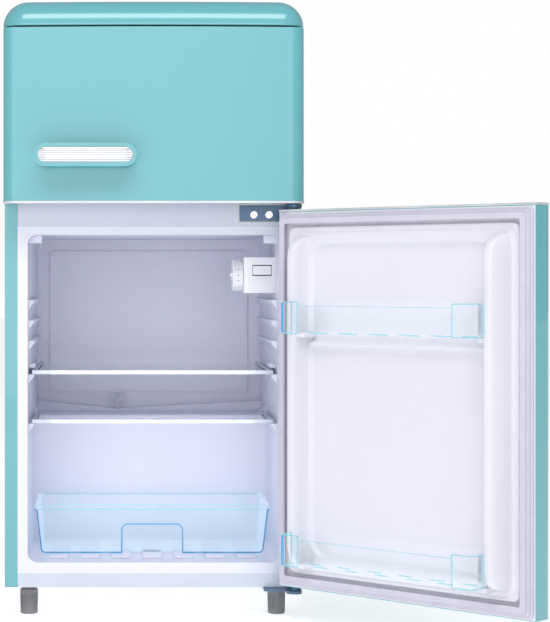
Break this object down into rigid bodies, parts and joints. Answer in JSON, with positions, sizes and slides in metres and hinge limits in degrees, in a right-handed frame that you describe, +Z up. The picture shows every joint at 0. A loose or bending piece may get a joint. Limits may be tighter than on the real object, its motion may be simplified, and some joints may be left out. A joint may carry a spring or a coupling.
{
  "type": "top freezer refrigerator",
  "caption": "Compact retro top freezer refrigerator with rounded cap, hinged doors, glass shelves, clear crisper drawer and door bins.",
  "frame": {"origin": "on the floor, below the middle of the cabinet's front face", "axes": "+X to the right as seen from the front, +Y to the back, +Z up"},
  "size_m": [0.7247, 0.7937, 0.887],
  "materials": {
    "painted_teal": "gloss enamel",
    "teal_plastic": "gloss",
    "pale_paint": "satin",
    "galvanised": "galvanised sheet",
    "bracket_steel": "zinc plated",
    "white_plastic": "smooth moulded",
    "control_plastic": "smooth moulded",
    "foam": "rigid foam",
    "clear_plastic": "clear moulded plastic",
    "shelf_glass": "tempered glass",
    "shelf_trim": "bright trim",
    "chrome_trim": "polished",
    "gasket_rubber": "soft white vinyl",
    "foot_plastic": "ribbed moulded",
    "black_paint": "satin black",
    "dark_plastic": "moulded",
    "black_rubber": "matt",
    "copper": "bare copper tube",
    "aluminium": "rolled plate",
    "bulb_glass": "frosted"
  },
  "bodies": {
    "cabinet": {"outer_case": "painted_teal", "top_cap": "teal_plastic", "back_panel": "galvanised", "base_pan": "galvanised", "bay_cover": "galvanised", "foam_core": "foam", "fridge_liner": "white_plastic", "freezer_liner": "white_plastic", "liner_ribs": "white_plastic", "divider_rail": "pale_paint", "bottom_rail": "pale_paint", "top_hinge": "bracket_steel", "middle_hinge": "bracket_steel", "bottom_hinge": "bracket_steel", "hinge_screws": "bracket_steel", "front_feet": "foot_plastic", "rear_feet": "foot_plastic", "compressor": "black_paint", "compressor_mounts": "black_rubber", "relay_cover": "dark_plastic", "drip_tray": "dark_plastic", "drain_tube": "white_plastic", "filter_drier": "copper", "refrigerant_pipes": "copper", "condenser_tube": "black_paint", "condenser_wires": "black_paint", "condenser_standoffs": "dark_plastic", "power_inlet": "dark_plastic", "freezer_evaporator": "aluminium", "thermostat_housing": "control_plastic", "lamp_bulb": "bulb_glass", "lamp_lens": "clear_plastic", "freezer_shelf": "bracket_steel"},
    "thermostat_knob": {"thermostat_knob": "control_plastic"},
    "light_switch": {"light_switch": "control_plastic"},
    "drain_plunger": {"drain_plunger": "control_plastic"},
    "upper_shelf": {"upper_shelf_glass": "shelf_glass", "upper_shelf_frame": "shelf_trim"},
    "lower_shelf": {"lower_shelf_glass": "shelf_glass", "lower_shelf_frame": "shelf_trim"},
    "crisper": {"crisper_drawer": "clear_plastic"},
    "lower_door": {"lower_door_shell": "painted_teal", "lower_door_foam": "foam", "lower_door_liner": "white_plastic", "lower_door_gasket": "gasket_rubber", "lower_door_trim": "chrome_trim", "lower_door_bushes": "control_plastic", "lower_door_handle": "teal_plastic", "lower_door_grip": "chrome_trim"},
    "freezer_door": {"freezer_door_shell": "painted_teal", "freezer_door_foam": "foam", "freezer_door_liner": "white_plastic", "freezer_door_gasket": "gasket_rubber", "freezer_door_trim": "chrome_trim", "freezer_door_bushes": "control_plastic", "freezer_door_handle": "teal_plastic", "freezer_door_grip": "chrome_trim"},
    "upper_bin": {"upper_bin": "clear_plastic"},
    "lower_bin": {"lower_bin": "clear_plastic"}
  },
  "joints": [
    {"name": "lower_door_hinge", "type": "hinge", "parent": "cabinet", "child": "lower_door", "pos_m": [0.202, -0.03, 0.3], "axis": [0, 0, 1], "range_deg": [-135, 15]},
    {"name": "freezer_door_hinge", "type": "hinge", "parent": "cabinet", "child": "freezer_door", "pos_m": [0.202, -0.03, 0.72], "axis": [0, 0, 1], "range_deg": [0, 150]},
    {"name": "upper_shelf_slide", "type": "slide", "parent": "cabinet", "child": "upper_shelf", "axis": [0, -1, 0], "range_m": [0, 0.3]},
    {"name": "lower_shelf_slide", "type": "slide", "parent": "cabinet", "child": "lower_shelf", "axis": [0, -1, 0], "range_m": [0, 0.18]},
    {"name": "crisper_slide", "type": "slide", "parent": "cabinet", "child": "crisper", "axis": [0, -1, 0], "range_m": [0, 0.15]},
    {"name": "upper_bin_lift", "type": "slide", "parent": "lower_door", "child": "upper_bin", "axis": [0, 0, 1], "range_m": [0, 0.03]},
    {"name": "lower_bin_lift", "type": "slide", "parent": "lower_door", "child": "lower_bin", "axis": [0, 0, 1], "range_m": [0, 0.03]},
    {"name": "thermostat_turn", "type": "hinge", "parent": "cabinet", "child": "thermostat_knob", "pos_m": [0.1345, 0.088, 0.4945], "axis": [1, 0, 0], "range_deg": [0, 270]},
    {"name": "light_switch_rock", "type": "hinge", "parent": "cabinet", "child": "light_switch", "pos_m": [0.1625, 0.064, 0.5015], "axis": [1, 0, 0], "range_deg": [0, 8]},
    {"name": "drain_plunger_lift", "type": "slide", "parent": "cabinet", "child": "drain_plunger", "axis": [0, 0, 1], "range_m": [0, 0.03]}
  ]
}
